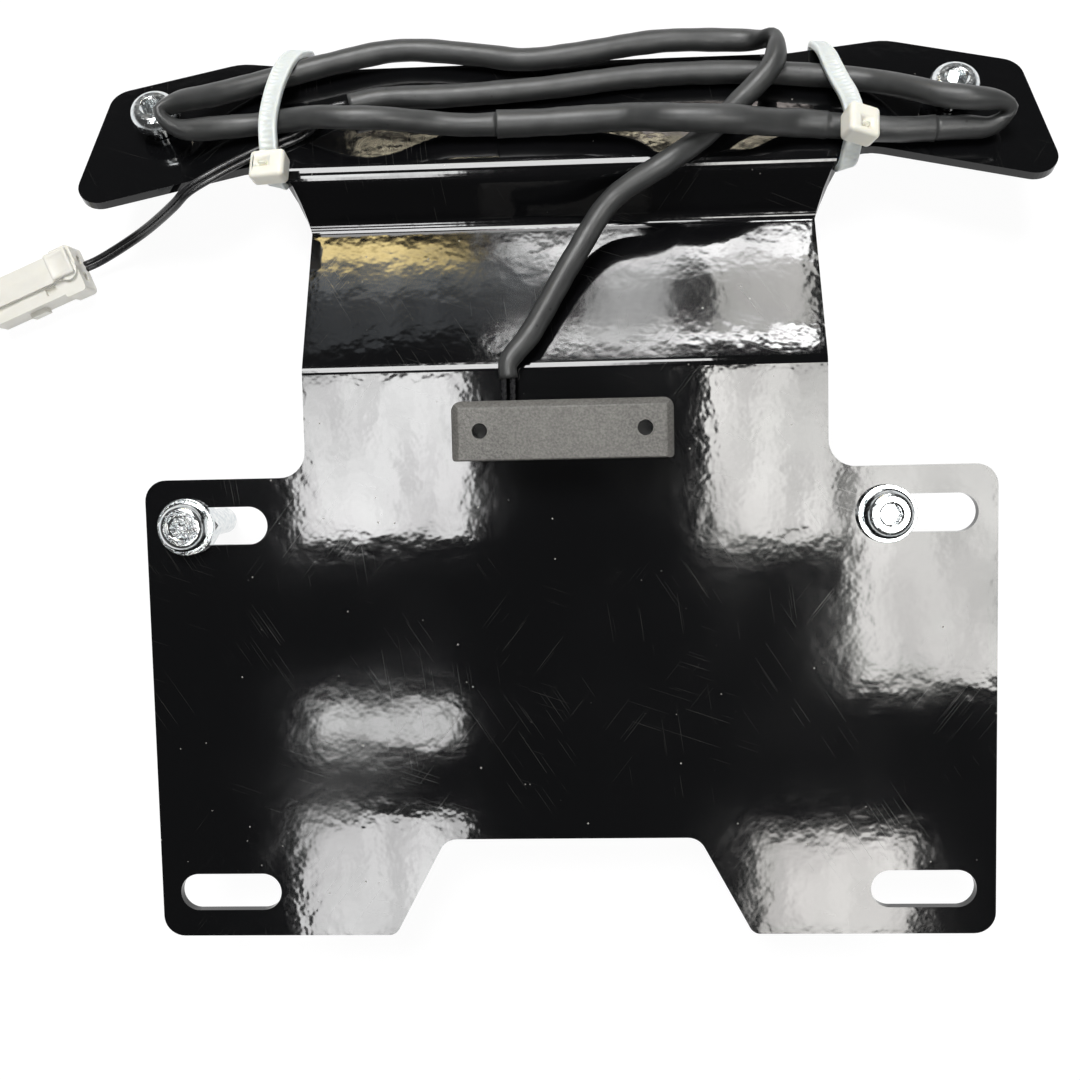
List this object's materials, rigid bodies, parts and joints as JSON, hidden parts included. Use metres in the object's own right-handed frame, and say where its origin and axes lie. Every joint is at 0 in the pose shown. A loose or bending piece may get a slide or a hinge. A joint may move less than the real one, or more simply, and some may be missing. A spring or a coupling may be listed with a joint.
{
  "type": "license plate holder with light",
  "caption": "Bent black steel number plate bracket with a swept tail wing, slotted plate holes, a small light bar and its cable tied along the wing to a plug.",
  "frame": {"origin": "centre of the outline on the surface that the part lies on", "axes": "+X across the plate, +Y from the plate up to the tail wing, +Z out of the plate's front face"},
  "size_m": [0.2356, 0.1948, 0.0368],
  "materials": {
    "black_paint": "gloss black powder coat with a fine orange peel",
    "bar_plastic": "dark grey-brown textured moulding",
    "clear_lens": "clear ribbed plastic",
    "board_green": "lacquered board",
    "led_yellow": "resin",
    "bright_zinc": "bright zinc plate",
    "wire_black": "smooth insulation",
    "soft_sleeve": "satin soft tube",
    "white_nylon": "off-white moulding",
    "brass_pin": "plain",
    "clear_nylon": "natural translucent nylon"
  },
  "bodies": {
    "root": {"bracket": "black_paint", "light_housing": "bar_plastic", "light_lens": "clear_lens", "led_board": "board_green", "led_left": "led_yellow", "led_middle": "led_yellow", "led_right": "led_yellow", "light_screw_left": "bright_zinc", "light_screw_right": "bright_zinc", "plate_screw_left": "bright_zinc", "plate_screw_right": "bright_zinc", "plate_washer_left": "bright_zinc", "plate_washer_right": "bright_zinc", "plate_nut_left": "bright_zinc", "plate_nut_right": "bright_zinc", "tail_screw_left": "bright_zinc", "tail_screw_right": "bright_zinc", "tail_nut_left": "black_paint", "tail_nut_right": "black_paint", "light_wire_left": "wire_black", "light_wire_right": "wire_black", "cable_sleeve_inner": "soft_sleeve", "splice_sleeve": "soft_sleeve", "cable_sleeve_outer": "soft_sleeve", "lead_wire_upper": "wire_black", "lead_wire_lower": "wire_black", "connector_housing": "white_nylon", "terminal_upper": "brass_pin", "terminal_lower": "brass_pin", "cable_tie_left": "clear_nylon", "cable_tie_right": "clear_nylon"}
  },
  "joints": []
}
